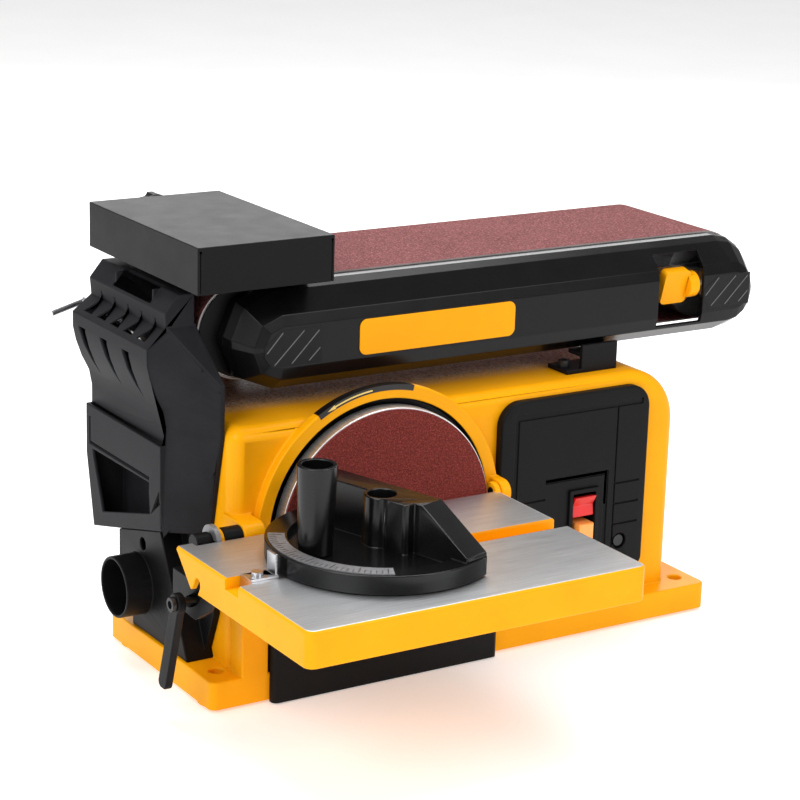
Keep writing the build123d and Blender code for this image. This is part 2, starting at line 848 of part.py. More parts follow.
def work_table():
    bottom = table_top - table_skirt
    plate_bottom = table_top - table_plate
    table = block(table_left, table_right, table_front, table_back, bottom, table_top)
    front_corners = table.edges().filter_by(Axis.Z).group_by(Axis.Y)[0]
    table = fillet(front_corners, 6)
    rim = [edge for edge in table.faces().sort_by(Axis.Z)[-1].edges() if edge.center().Y < table_back - 1]
    table = fillet(rim, table_edge)
    table -= block(table_left + skirt_wall, table_right - skirt_wall, table_front + skirt_wall,
                   table_back + 1, bottom - 1, plate_bottom)
    table += block(table_left + 1, table_right - 1, slot_y - slot_width / 2 - 6,
                   slot_y + slot_width / 2 + 6, plate_bottom - 7, plate_bottom + 1)
    table -= table_rear_cut(0, table_left - 1, table_right + 1)
    table -= block(table_left - 1, table_right + 1, slot_y - slot_width / 2, slot_y + slot_width / 2,
                   table_top - slot_depth, table_top + 1)
    table -= rod_x(left_ear_span()[0] - 16, left_boss_span()[1] + 1, pivot_y, pivot_z, ear_radius + 1.5)
    for x0, x1 in left_ear_span(), right_ear_span():
        table += rod_x(x0, x1, pivot_y, pivot_z, ear_radius)
        table += block(x0, x1, table_back - 8, pivot_y, pivot_z - 5, pivot_z + 1)
    table -= rod_x(left_ear_span()[0] - 1, left_ear_span()[1] + 1, pivot_y, pivot_z,
                   left_pin_radius + running_clearance)
    table -= rod_x(right_ear_span()[0] - 1, right_ear_span()[1] + 1, pivot_y, pivot_z,
                   right_pin_radius + running_clearance)
    return table - lock_slot(table_left - 1, table_left + skirt_wall + 1)


def left_ear_span():
    boss_left = left_boss_span()[0]
    return boss_left - 17, boss_left - 13


def right_ear_span():
    return table_right - skirt_wall, table_right


def table_pivot_pins():
    left = rod_x(left_ear_span()[0] - 6, left_boss_span()[1], pivot_y, pivot_z, left_pin_radius)
    left += rod_x(left_ear_span()[0] - 14, left_ear_span()[0] - 4, pivot_y, pivot_z, left_pin_radius + 1)
    left += rod_x(left_ear_span()[1] + open_clearance, left_boss_span()[0], pivot_y, pivot_z, ear_radius)
    right = rod_x(right_ear_span()[0], right_boss_span()[1], pivot_y, pivot_z, right_pin_radius)
    return group([left, right])


def bevel_scale():
    """Half-round scale plate that turns with the table beside the left ear."""
    x1 = left_ear_span()[0]
    x0 = x1 - scale_thickness
    scale = rod_x(x0, x1, pivot_y, pivot_z, scale_radius)
    scale -= block(x0 - 1, x1 + 1, pivot_y - 30, pivot_y + 30, pivot_z - 30, pivot_z - 4)
    scale -= block(x0 - 1, x1 + 1, pivot_y - 30, pivot_y, pivot_z - 30, table_top)
    return scale - rod_x(x0 - 1, x1 + 1, pivot_y, pivot_z, left_pin_radius + running_clearance)


def trunnion_span():
    x0 = table_left + skirt_wall
    return x0, x0 + trunnion_thickness


def table_trunnion():
    x0, x1 = trunnion_span()
    plate_bottom = table_top - table_plate
    outline = [
        (pivot_y - 50, plate_bottom), (table_back - 8, plate_bottom), (lock_y + 12, lock_z - 2),
        (lock_y + 9, lock_z - 8), (lock_y - 8, lock_z - 9), (lock_y - 24, lock_z + 1),
        (pivot_y - 46, lock_z + 14),
    ]
    return prism_x(outline, x0, x1) - lock_slot(x0 - 1, x1 + 1)


def trunnion_bracket():
    """Fixed bracket for the lock bolt; its sloping corner lies under the table at full tilt."""
    x0 = trunnion_span()[1] + open_clearance
    x1 = x0 + trunnion_thickness
    reach = lock_bolt_radius + 4
    low, high = lock_z - 9, lock_z + 11
    back = house_front + 5
    slope_y = high - pivot_z + table_plate + 2 + pivot_y
    front = lock_y - reach
    slope_z = front - pivot_y - table_plate - 2 + pivot_z
    bracket = prism_x([(front, low), (front, slope_z), (slope_y, high), (back, high), (back, low)], x0, x1)
    bracket += block(x0, house_left, back - trunnion_thickness, back, low, high)
    bracket += block(house_left - trunnion_thickness, house_left, back - trunnion_thickness,
                     back + trunnion_thickness, low, high)
    return bracket - rod_x(x0 - 1, x1 + 1, lock_y, lock_z, lock_bolt_radius)


def lever_span():
    return table_left - open_clearance - lever_thickness, table_left - open_clearance


def lock_bolt():
    inner = trunnion_span()[1] + open_clearance + trunnion_thickness
    head_left = lever_span()[0] - bolt_head_length
    bolt = rod_x(head_left, inner, lock_y, lock_z, lock_bolt_radius)
    bolt += rod_x(head_left, lever_span()[0] - 0.2, lock_y, lock_z, bolt_head_radius)
    return bolt - rod_x(head_left - 1, head_left + 2, lock_y, lock_z, lock_bolt_radius - 0.5)


def lock_lever():
    x0, x1 = lever_span()
    hub = rod_x(x0, x1, lock_y, lock_z, lever_hub_radius)
    foot_y, foot_z = lock_y + lever_swing, lock_z - lever_drop
    handle = prism_x([(lock_y - 5, lock_z - 2), (lock_y + 5, lock_z - 1), (foot_y + 6, foot_z),
                      (foot_y - 5, foot_z)], x0, x1)
    handle = fillet(handle.edges().filter_by(Axis.X).group_by(Axis.Z)[0], 4)
    return hub + handle - rod_x(x0 - 1, x1 + 1, lock_y, lock_z, lock_bolt_radius + running_clearance)


# Mitre gauge

def mitre_frame(shape):
    """Place a shape drawn with the fence facing +X at the gauge's pivot, turned as set."""
    return Pos(mitre_x, slot_y, 0) * Rot(0, 0, mitre_turn) * shape


def mitre_bar():
    half = slot_width / 2 - 0.2
    bar = block(mitre_x - mitre_radius - bar_overhang, mitre_x + bar_right_reach, slot_y - half,
                slot_y + half, table_top - slot_depth + 0.3, table_top)
    return bar + rod_z(mitre_x, slot_y, table_top - 1, mitre_base_top + 10, mitre_post_radius)


def mitre_head():
    low = table_top + gauge_lift
    fence_near = fence_far - fence_thickness
    base = rod_z(0, 0, low, mitre_base_top, mitre_radius)
    base -= block(fence_far, mitre_radius + 1, -mitre_radius - 1, mitre_radius + 1, low - 1,
                  mitre_base_top + 1)
    base -= rod_z(0, 0, mitre_base_top - tray_depth, mitre_base_top + 1, mitre_radius - tray_rim) - block(
        fence_near, mitre_radius, -mitre_radius, mitre_radius, low, mitre_base_top + 2)
    fence = prism_x([(-fence_half, low), (fence_half, low), (fence_half, fence_top),
                     (-fence_half + fence_slope, fence_top), (-fence_half, mitre_base_top + 3)],
                    fence_near, fence_far)
    head = base + fence
    head += rod_z(0, 0, low, fence_top, hub_radius)
    rib = block(fence_near - 7, fence_near + 1, -hub_radius - 15, -hub_radius + 3, low, fence_top)
    head += fillet(rib.edges().filter_by(Axis.Z).group_by(Axis.X)[0], 3)
    head -= rod_z(0, 0, mitre_base_top + 13, fence_top + 1, hub_radius - 2.5)
    head -= rod_z(0, 0, low - 1, mitre_base_top + 14, mitre_post_radius + running_clearance)
    head -= rod_z(clamp_x, clamp_y, low - 1, mitre_base_top + 1, clamp_stud_radius + running_clearance)
    return mitre_frame(head)


def mitre_scale():
    low, high = mitre_base_top - 1, mitre_base_top + 2
    strip = rod_z(0, 0, mitre_base_top, mitre_base_top + 0.8, mitre_radius - scale_edge)
    strip -= rod_z(0, 0, low, high, mitre_radius - scale_edge - scale_width)
    half_width = mitre_radius * math.tan(math.radians(scale_half_angle))
    strip &= prism_z([(0, 0), (-mitre_radius, half_width), (-mitre_radius, -half_width)], low, high)
    return mitre_frame(strip)


def mitre_knob():
    foot = mitre_base_top - tray_depth + 0.4
    height = mitre_base_top + clamp_height - foot
    grip = Pos(clamp_x, clamp_y, foot + height / 2) * Cone(clamp_radius - clamp_taper, clamp_radius, height)
    grip -= rod_z(clamp_x, clamp_y, foot + height - 24, foot + height + 1, clamp_radius - 3)
    grip += rod_z(clamp_x, clamp_y, foot - 4, foot + 1, clamp_stud_radius)
    return mitre_frame(grip)


def mitre_pointer():
    left = mitre_x - mitre_radius - bar_overhang
    foot = block(left, left + 18, slot_y - 6, slot_y + 6, table_top, table_top + 1.5)
    tab = block(left + 16, left + 17.5, slot_y - 5, slot_y + 5, table_top, mitre_base_top + 2)
    return foot + tab + rod_z(left + 7, slot_y, table_top + 1, table_top + 4, 3.5)


# Guard, panel, hood, chute and bracket

def disc_guard():
    outer = block(guard_left, guard_right, guard_front, house_front, 1, guard_top)
    front_edges = outer.edges().filter_by(Axis.Z).group_by(Axis.Y)[0]
    outer = fillet(front_edges, 4)
    guard = outer - block(guard_left + guard_wall, guard_right - guard_wall, guard_front + guard_wall,
                          house_front + 1, 0, guard_top + 1)
    return guard - block(guard_left - 1, guard_right + 1, -base_half_depth - open_clearance,
                         house_front + 1, 0, flange_top + open_clearance)


def switch_panel():
    panel = block(panel_left, panel_right, panel_front, house_front, panel_bottom, panel_top)
    corners = panel.edges().filter_by(Axis.Y).group_by(Axis.Z)
    panel = fillet(corners[-1], 16)
    low_corners = panel.edges().filter_by(Axis.Y).group_by(Axis.Z)[0]
    panel = fillet(low_corners, 6)
    panel = fillet(panel.faces().sort_by(Axis.Y)[0].edges(), 1.5)
    front, floor = panel_front - 1, panel_front + groove_depth
    plate_left, plate_top = panel_left + 14, panel_top - 9
    panel -= block(plate_left - 3, panel_right - 6, front, floor, plate_top - 4, plate_top)
    panel -= block(plate_left - 3, plate_left, front, floor, panel_bottom + 4, plate_top)
    panel -= block(column_x, column_x + 1, front, floor, panel_bottom + 4, plate_top)
    panel -= block(bay_left, bay_right, front, floor, bay_top - 3, bay_top)
    panel -= block(bay_right - 3, bay_right, front, floor, panel_bottom + 4, bay_top)
    for row in range(3):
        z = bay_top - 10 - 14.5 * row
        panel -= block(column_x, panel_right - 6, front, floor, z - 1, z)
    panel -= block(plate_left, bay_left, front, floor, bay_top - 14, bay_top - 13)
    panel -= rod_y(*panel_screw_place(), 5.5)
    return panel - switch_hole(panel_front - 1, house_front + 1)


def panel_screw_place():
    return (panel_right - panel_screw_inset, panel_front - 1, panel_front + 3.5,
            panel_bottom + panel_screw_inset)


def switch_body():
    outer_x, outer_z = switch_half_x + 1, switch_half_z + 1
    can = block(switch_x - outer_x, switch_x + outer_x, panel_front, switch_back + switch_tail,
                switch_z - outer_z, switch_z + outer_z)
    rim_x, rim_z = switch_half_x + switch_rim, switch_half_z + switch_rim
    rim = block(switch_x - rim_x, switch_x + rim_x, panel_front - 2, panel_front, switch_z - rim_z,
                switch_z + rim_z)
    hollow = block(switch_x - switch_half_x, switch_x + switch_half_x, panel_front - 3, switch_back,
                   switch_z - switch_half_z, switch_z + switch_half_z)
    return can + rim - hollow


def switch_rocker():
    outline = [(rocker_y + 6, rocker_z - 5), (rocker_y - 5, rocker_z - 7.5), (rocker_y - 4, rocker_z),
               (rocker_y - 8, rocker_z + 7), (rocker_y + 6, rocker_z + 5)]
    half = switch_half_x - open_clearance
    rocker = prism_x(outline, switch_x - half, switch_x + half)
    return rocker + rod_x(switch_x - half - 0.3, switch_x + half + 0.3, rocker_y, rocker_z, 1.5)


def switch_key():
    key = block(switch_x - 6, switch_x + 6, panel_front - 6, switch_back, switch_z - 15,
                switch_z - 3)
    return fillet(key.faces().sort_by(Axis.Y)[0].edges(), 1.5)


def hood_outline(inset, right):
    """Side view of the hood: louver shelf, ridge, waist and outlet frame, from the top down."""
    low = 60.0
    crown = drum_z + 28 - inset
    return [
        (right, crown), (hood_waist + 9, crown), (hood_waist + inset, drum_z + 17),
        (hood_waist + 1 + inset, drum_z + 6), (hood_left + inset, drum_z - 4),
        (hood_left + inset, drum_z - 14), (hood_left + 2 + inset, drum_z - 23),
        (hood_left + 6 + inset, drum_z - 34), (hood_waist - 1 + inset, drum_z - 44),
        (hood_waist + 1 + inset, drum_z - 54), (hood_waist + 1 + inset, outlet_top),
        (frame_left_x + inset, outlet_top), (frame_left_x + inset, outlet_top - 33),
        (hood_low_x + inset, low), (right, low),
    ]


def hood_floor(y):
    """Height of the hood's sloping lower edge."""
    return hood_low_front - (y - hood_front) * hood_low_drop / (hood_back - hood_front)


def below_hood(lift):
    front, back = hood_front - 1, hood_back + 1
    return prism_x([(front, hood_floor(front) + lift), (back, hood_floor(back) + lift),
                    (back, 0), (front, 0)], hood_left - 20, drum_x + 20)


def cheek_loft(side, wall):
    """Ruled solid between an outline on the hood's front and a strip along the housing's wall."""
    side_face = make_face(Polyline(*[(x, hood_front + 1, z) for x, z in side], close=True))
    wall_face = make_face(Polyline(*wall, close=True))
    return loft([side_face, wall_face], ruled=True)


def hood_cheek():
    """Front side of the hood, which flares forwards until it meets the housing's left wall."""
    low, fold, high = hood_floor(hood_front), house_top - 8, drum_z + 9
    wall_high = house_top + 26
    left_edge = [(hood_waist + 1, high), (hood_waist + 1, drum_z + 6), (hood_left, drum_z - 4),
                 (hood_left, drum_z - 14), (hood_left + 2, drum_z - 23), (hood_left + 6, drum_z - 34),
                 (hood_waist - 1, drum_z - 44), (hood_waist + 1, drum_z - 54), (hood_waist + 1, fold)]
    right_edge = [(house_left, fold), (house_left, wall_high), (house_left - 1, drum_z - 14),
                  (house_left - 5, drum_z), (house_left - 4, high)]

    def strip_height(z):
        return fold + (z - fold) * (wall_high - fold) / (high - fold)

    strip_left = house_left - 3
    upper_strip = [(strip_left, cheek_front, strip_height(z)) for x, z in left_edge]
    upper_strip += [(house_left, cheek_front, strip_height(z)) for x, z in right_edge]
    upper = cheek_loft(left_edge + right_edge, upper_strip)
    toe = hood_front - 17
    lower = cheek_loft(
        [(hood_waist + 1, fold), (frame_left_x, low), (house_left, low), (house_left, fold)],
        [(strip_left, cheek_front, fold), (strip_left, toe, low), (house_left, toe, low),
         (house_left, cheek_front, fold)])
    return upper + lower


def belt_dust_hood():
    reach = drum_x - 13
    hood = prism_y(hood_outline(0, reach), hood_front, hood_back) - below_hood(0)
    hollow = prism_y(hood_outline(hood_wall, reach + 1), hood_front + hood_wall, hood_back - hood_wall)
    back_wall = block(house_left - hood_wall, reach + 2, hood_front, hood_back, 0, house_top + hood_wall)
    hood -= hollow - below_hood(hood_wall) - back_wall
    hood -= rod_y(drum_x, hood_front - 1, hood_back + 1, drum_z, hood_clear)
    hood -= block(drum_x - hood_clear, reach + 1, hood_front - 1, hood_back + 1, drum_z, drum_z + 40)
    hood -= block(house_left, reach + 1, hood_front - 1, hood_back + 1, 0, house_top + open_clearance)
    hood += hood_cheek()
    inside = hood_waist + 4
    slot_top, slot_drop = drum_z - 12, 27
    for index in range(3):
        y = hood_front + 26 + 31.5 * index
        slot_middle, slot_low = slot_top - slot_drop / 2, slot_top - slot_drop
        slot = [(y, slot_top), (y + 9, slot_top), (y + 5, slot_middle), (y - 2, slot_low),
                (y - 1, slot_middle)]
        hood -= prism_x(slot, hood_left - 1, inside)
    for index in range(5):
        y = hood_front + 9 + 19 * index
        groove = [(inside - 2, y + 6), (hood_left + 3, y), (hood_left + 3, y + 12)]
        hood -= prism_z(groove, drum_z - 2, drum_z + 11)
    hood += block(inside - 2, inside, hood_front + 1, hood_back - 1, drum_z - 6, drum_z + 14)
    notch_front, notch_back, notch_right = hood_front + 24, hood_front + 74, hood_waist + 12
    hood += block(hood_waist + 3, notch_right + 2, notch_front - 2, notch_back + 2,
                  drum_z + 17, drum_z + 27)
    hood -= block(hood_waist - 1, notch_right, notch_front, notch_back, drum_z + 19, drum_z + 29)
    groove_top, groove_back = outlet_top - 8, hood_back - 5
    hood -= block(frame_left_x - 1, frame_left_x + groove_depth, groove_back - groove_width, groove_back,
                  groove_top - 18, groove_top)
    hood -= block(frame_left_x - 1, frame_left_x + groove_depth, hood_front + 16, groove_back,
                  groove_top - 18, groove_top - 18 + groove_width)
    outlet = [(hood_front + 18, 108), (hood_front + 16, outlet_top - 28), (hood_back - 10, outlet_top - 29),
              (hood_back - 17, 87)]
    hood -= prism_x(outlet, hood_left - 1, hood_waist + 6)
    return hood - rod_y(key_x, hood_back - key_depth - 1, hood_back + 1, key_z,
                        key_radius + running_clearance)


def hex_key():
    long_arm = rod_y(key_x, hood_back - key_depth, key_bend_y, key_z, key_radius)
    bend = Pos(key_x, key_bend_y, key_z)
    short_arm = bend * Rot(0, -90 - key_droop, 0) * Cylinder(
        key_radius, key_short, align=(Align.CENTER, Align.CENTER, Align.MIN))
    return long_arm + short_arm + bend * Sphere(key_radius)


def chute_outline(inset):
    step = port_y + 10 - inset
    back = port_y + 30 - inset
    shoulder = chute_shoulder + inset
    gap = chute_gap + inset
    return [
        (chute_foot + inset, flange_top + inset), (shoulder, hood_floor(shoulder) - gap),
        (back, hood_floor(back) - gap), (back, 40 + inset), (step, 40 + inset),
        (step, flange_top + inset),
    ]


def disc_dust_chute():
    chute = prism_x(chute_outline(0), chute_left, house_left)
    chute -= prism_x(chute_outline(chute_wall), chute_left + chute_wall, house_left + 1)
    cheek = [
        (chute_foot + 5, flange_top), (chute_foot - 8, flange_top + 32),
        (chute_foot - 8, flange_top + 50), (chute_foot + 3, hood_low_front - chute_gap),
        (hood_front, hood_low_front - chute_gap), (chute_shoulder, hood_floor(chute_shoulder) - chute_gap),
    ]
    chute += prism_x(cheek, house_left - 5, house_left)
    chute += rod_x(port_end, house_left, port_y, port_z, port_radius)
    chute -= rod_x(chute_left - 1, chute_left + chute_wall + 1, port_y - 5, port_z + 28, 4)
    return chute - rod_x(port_end - 1, house_left + 1, port_y, port_z, port_bore)


def arm_rest_bracket():
    top = cover_bottom - open_clearance
    foot_left = bracket_left - 12
    back = bracket_front + 22
    bracket = block(bracket_left, bracket_right, bracket_front, bracket_front + bracket_sheet, house_top,
                    cover_bottom + 5)
    bracket += block(foot_left, bracket_right, bracket_front, back, house_top, house_top + bracket_sheet)
    return bracket + block(bracket_left, bracket_right, bracket_front, back - 6, top - bracket_sheet, top)


def bracket_screw():
    x, y = bracket_left - 6, bracket_front + 12
    seat = house_top + bracket_sheet
    screw = rod_z(x, y, seat, seat + 4, 4)
    return screw - rod_z(x, y, seat + 2, seat + 5, 2)


# Write every piece

save("base_housing", base_housing())
save("rear_cover", rear_cover())
save("cord_gland", cord_gland())
save("housing_screws", housing_screws())
save("motor_stator", motor_stator())
save("motor_end_plates", motor_end_plates())
save("shaft_bearings", shaft_bearings())
save("motor_shaft", motor_shaft())
save("motor_rotor", motor_rotor())
save("cooling_fan", cooling_fan())
save("disc_plate", disc_plate())
save("abrasive_disc", abrasive_disc())
save("motor_pulley", toothed_pulley(motor_x, motor_z, motor_shaft_radius))
save("driven_pulley", toothed_pulley(drum_x, drum_z, drum_shaft_radius))
save("timing_belt", timing_belt())
save("drive_housing", drive_housing())
save("drive_cover", drive_cover())
save("drive_drum", drive_drum())
save("drum_shaft", drum_shaft())
save("drum_bush", drum_bush())
save("arm_frame", arm_frame())
save("guide_rods", guide_rods())
save("tension_spring", tension_spring())
save("platen", platen())
save("sanding_belt", sanding_belt())
save("front_cover", front_cover())
save("trim_strip", trim_strip())
save("arm_rear_cover", arm_rear_cover())
save("cover_screws", cover_screws())
save("idler_yoke", idler_yoke())
save("idler_axle", idler_axle())
save("idler_drum", idler_drum())
save("idler_bearings", idler_bearings())
save("tracking_knob", tracking_knob())
save("tracking_screw", tracking_screw())
save("work_rest", work_rest())
save("rest_strap", rest_strap())
save("rest_knob", rest_knob())
save("work_table", work_table())
save("table_pivot_pins", table_pivot_pins())
save("bevel_scale", bevel_scale())
save("table_trunnion", table_trunnion())
save("trunnion_bracket", trunnion_bracket())
save("lock_bolt", lock_bolt())
save("lock_lever", lock_lever())
save("mitre_bar", mitre_bar())
save("mitre_head", mitre_head())
save("mitre_scale", mitre_scale())
save("mitre_knob", mitre_knob())
save("mitre_pointer", mitre_pointer())
save("disc_guard", disc_guard())
save("switch_panel", switch_panel())
save("switch_body", switch_body())
save("switch_rocker", switch_rocker())
save("switch_key", switch_key())
save("belt_dust_hood", belt_dust_hood())
save("hex_key", hex_key())
save("disc_dust_chute", disc_dust_chute())
save("arm_rest_bracket", arm_rest_bracket())
save("bracket_screw", bracket_screw())
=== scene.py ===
import bmesh
import bpy
import json
import math
from mathutils import Matrix, Vector


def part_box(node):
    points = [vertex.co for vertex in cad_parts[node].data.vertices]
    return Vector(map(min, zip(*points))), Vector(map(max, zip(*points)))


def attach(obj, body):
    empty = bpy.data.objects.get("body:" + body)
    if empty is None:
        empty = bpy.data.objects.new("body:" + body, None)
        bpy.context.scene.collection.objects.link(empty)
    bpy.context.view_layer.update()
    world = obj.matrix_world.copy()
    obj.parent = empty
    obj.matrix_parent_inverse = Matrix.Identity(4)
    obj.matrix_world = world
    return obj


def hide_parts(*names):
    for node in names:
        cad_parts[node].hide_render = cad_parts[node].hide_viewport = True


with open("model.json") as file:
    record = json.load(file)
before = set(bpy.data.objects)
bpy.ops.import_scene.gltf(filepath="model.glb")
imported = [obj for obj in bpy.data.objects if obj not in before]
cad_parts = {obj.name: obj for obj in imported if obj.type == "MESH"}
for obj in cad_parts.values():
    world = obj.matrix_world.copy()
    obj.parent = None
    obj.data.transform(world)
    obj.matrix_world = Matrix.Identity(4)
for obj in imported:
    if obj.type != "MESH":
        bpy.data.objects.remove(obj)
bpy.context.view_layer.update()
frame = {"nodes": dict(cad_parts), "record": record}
nodes = frame["nodes"]
body_of_node = {
    node: body for body, members in frame["record"]["behaviour"]["bodies"].items() for node in members
}
slot_of_node = {part["node"]: part["material_slot"] for part in frame["record"]["subparts"]}

# All lengths are in metres, in the frame of the CAD model.
table_top = 0.114
house_top = 0.174
house_front = -0.057
cover_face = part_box("front_cover")[0].y
disc_centre = Vector((-0.068, 0, 0.1024))
ring_inner = 0.08
ring_outer = 0.089
ring_front = house_front - 0.006
film_thickness = 0.0002

# Inside the ring the enamel is painted black as shade in the recess, from just behind the ring's front to
# just behind the recess's floor.
recess_radius = ring_inner + 0.0003
recess_front = ring_front + 0.0001
recess_back = house_front + 0.0015

# Dust with the painted shadow of the belt arm lies on the housing's top: it starts at a depth and a
# height, and is at its full beyond two others.
dust_and_shadow_start = house_front + 0.032
dust_and_shadow_full = house_front + 0.052
dust_and_shadow_lowest = house_top - 0.009
dust_and_shadow_level = house_top - 0.001

# Heights closer than this count as the same, and the change to the black painted shade in the recess takes
# this length.
TOLERANCE = 0.0002
# A face points along an axis if that part of its normal is more than this.
FACING = 0.9
# Edges that reach below this height, or meet one that is shorter than this length, stay sharp.
UNDERSIDE = 0.0165
SHORT_EDGE = 0.0004
# Points this close become one, and so do faces that meet at less than this angle.
SAME_POINT = 2e-6
FLAT_DEGREES = 0.5

X_AXIS, Y_AXIS = 0, 1
WHITE = (1.0, 1.0, 1.0)
YELLOW = (0.93, 0.39, 0.003)
BLACK = (0.004, 0.004, 0.0045)
# Grey-brown of the dust on the housing's top, with the painted shadow of the belt arm in it.
DUST_AND_SHADOW = (0.33, 0.28, 0.26)
ENAMEL_ROUGHNESS = 0.28

bpy.context.scene.view_settings.view_transform = "Standard"


# Nodes for materials

def new_material(name):
    """New material with its node tree and its shader."""
    material = bpy.data.materials.new(name)
    material.use_nodes = True
    tree = material.node_tree
    shader = tree.nodes["Principled BSDF"]
    return material, tree, shader


def coordinates(tree, scale=(1, 1, 1)):
    """Object coordinates, so the grain keeps its real size and moves with its body."""
    texture = tree.nodes.new("ShaderNodeTexCoord")
    mapping = tree.nodes.new("ShaderNodeMapping")
    mapping.inputs["Scale"].default_value = scale
    tree.links.new(texture.outputs["Object"], mapping.inputs["Vector"])
    return mapping.outputs["Vector"]


def split_place(tree, vector):
    """The X, Y and Z of a place, as sockets."""
    node = tree.nodes.new("ShaderNodeSeparateXYZ")
    tree.links.new(vector, node.inputs["Vector"])
    return node.outputs


def noise(tree, vector, scale, detail=3.0, roughness=0.55):
    """Noise from 0 to 1; scale is the number of spots to each unit of the vector."""
    node = tree.nodes.new("ShaderNodeTexNoise")
    node.inputs["Scale"].default_value = scale
    node.inputs["Detail"].default_value = detail
    node.inputs["Roughness"].default_value = roughness
    tree.links.new(vector, node.inputs["Vector"])
    return node.outputs["Fac"]


def ramp(tree, factor, stops):
    """Colour by factor, from pairs of a position and its colour."""
    node = tree.nodes.new("ShaderNodeValToRGB")
    elements = node.color_ramp.elements
    while len(elements) < len(stops):
        elements.new(0.5)
    for element, (position, colour) in zip(elements, stops):
        element.position = position
        element.color = (*colour, 1.0)
    tree.links.new(factor, node.inputs["Fac"])
    return node.outputs["Color"]


def value_range(tree, factor, low, high, from_low=0.0, from_high=1.0):
    """Carries a factor from one range over to another, and stops at its ends."""
    node = tree.nodes.new("ShaderNodeMapRange")
    node.inputs["From Min"].default_value = from_low
    node.inputs["From Max"].default_value = from_high
    node.inputs["To Min"].default_value = low
    node.inputs["To Max"].default_value = high
    tree.links.new(factor, node.inputs["Value"])
    return node.outputs["Result"]


def rise(tree, value, start, full):
    """0 up to the start, 1 from full on."""
    return value_range(tree, value, low=0.0, high=1.0, from_low=start, from_high=full)


def arithmetic(tree, operation, first, second):
    """Result of an operation on the numbers of two sockets."""
    node = tree.nodes.new("ShaderNodeMath")
    node.operation = operation
    tree.links.new(first, node.inputs[0])
    tree.links.new(second, node.inputs[1])
    return node.outputs["Value"]


def mix_colour(tree, factor, first, second):
    """Mix of two colours, each given as a socket or as plain numbers."""
    node = tree.nodes.new("ShaderNodeMix")
    node.data_type = "RGBA"
    tree.links.new(factor, node.inputs["Factor"])
    for socket, value in (("A", first), ("B", second)):
        target = [i for i in node.inputs if i.name == socket and i.type == "RGBA"][0]
        if isinstance(value, tuple):
            target.default_value = (*value, 1.0)
        else:
            tree.links.new(value, target)
    return [o for o in node.outputs if o.type == "RGBA"][0]


def bump(tree, shader, height, strength, distance):
    """Lets a pattern of heights show as relief on the shader's surface."""
    node = tree.nodes.new("ShaderNodeBump")
    node.inputs["Strength"].default_value = strength
    node.inputs["Distance"].default_value = distance
    tree.links.new(height, node.inputs["Height"])
    tree.links.new(node.outputs["Normal"], shader.inputs["Normal"])


def shade(colour, factor):
    """Colour made darker or lighter by a factor."""
    return tuple(channel * factor for channel in colour)


# Materials

def paint(name, colour, roughness, peel=0.12):
    """Sprayed enamel: faint orange peel, uneven gloss and a slight drift of tone."""
    material, tree, shader = new_material(name)
    vector = coordinates(tree)
    spread = 0.08
    drift = noise(tree, vector, scale=18, detail=4)
    tone = ramp(tree, drift, [(0.3, shade(colour, 1 - spread)), (0.7, shade(colour, 1 + spread / 2))])
    tree.links.new(tone, shader.inputs["Base Color"])
    gloss = value_range(tree, noise(tree, vector, scale=120), roughness, roughness + 0.12)
    tree.links.new(gloss, shader.inputs["Roughness"])
    shader.inputs["Specular IOR Level"].default_value = 0.08
    shader.inputs["Coat Weight"].default_value = 0.04
    shader.inputs["Coat Roughness"].default_value = 0.12
    bump(tree, shader, noise(tree, vector, scale=900, detail=1), strength=peel, distance=0.0002)
    return material


def moulded(name, colour, roughness, grain, grain_scale=1500, coat=0.0, specular=0.3):
    """Moulded plastic: fine spark grain with patches that are a little smoother."""
    material, tree, shader = new_material(name)
    vector = coordinates(tree)
    patches = noise(tree, vector, scale=35, detail=5)
    tone = ramp(tree, patches, [(0.25, shade(colour, 0.8)), (0.75, shade(colour, 1.25))])
    tree.links.new(tone, shader.inputs["Base Color"])
    gloss = value_range(tree, patches, roughness - 0.05, roughness + 0.1)
    tree.links.new(gloss, shader.inputs["Roughness"])
    shader.inputs["Specular IOR Level"].default_value = specular
    shader.inputs["Coat Weight"].default_value = coat
    shader.inputs["Coat Roughness"].default_value = 0.08
    bump(tree, shader, noise(tree, vector, grain_scale, detail=2), strength=grain, distance=0.0002)
    return material


def powder_coat(name, colour):
    """Powder coated sheet steel: close bumps and a soft gloss."""
    material, tree, shader = new_material(name)
    vector = coordinates(tree)
    speckle = noise(tree, vector, scale=2200, detail=2)
    tone = ramp(tree, speckle, [(0.35, shade(colour, 0.75)), (0.65, shade(colour, 1.3))])
    tree.links.new(tone, shader.inputs["Base Color"])
    gloss = value_range(tree, noise(tree, vector, scale=60), low=0.38, high=0.5)
    tree.links.new(gloss, shader.inputs["Roughness"])
    shader.inputs["Specular IOR Level"].default_value = 0.13
    bump(tree, shader, noise(tree, vector, scale=1600, detail=2), strength=0.2, distance=0.0002)
    return material


def brushed(name, colour, along, roughness):
    """Metal with fine straight marks along one axis."""
    material, tree, shader = new_material(name)
    marks_along, marks_across = 40, 2400
    scale = tuple(marks_along if axis == along else marks_across for axis in range(3))
    vector = coordinates(tree, scale)
    marks = noise(tree, vector, scale=1.0, detail=4, roughness=0.7)
    tone = ramp(tree, marks, [(0.3, shade(colour, 0.8)), (0.7, shade(colour, 1.15))])
    tree.links.new(tone, shader.inputs["Base Color"])
    gloss = value_range(tree, marks, roughness - 0.08, roughness + 0.12)
    tree.links.new(gloss, shader.inputs["Roughness"])
    shader.inputs["Metallic"].default_value = 1.0
    bump(tree, shader, marks, strength=0.15, distance=0.0001)
    return material


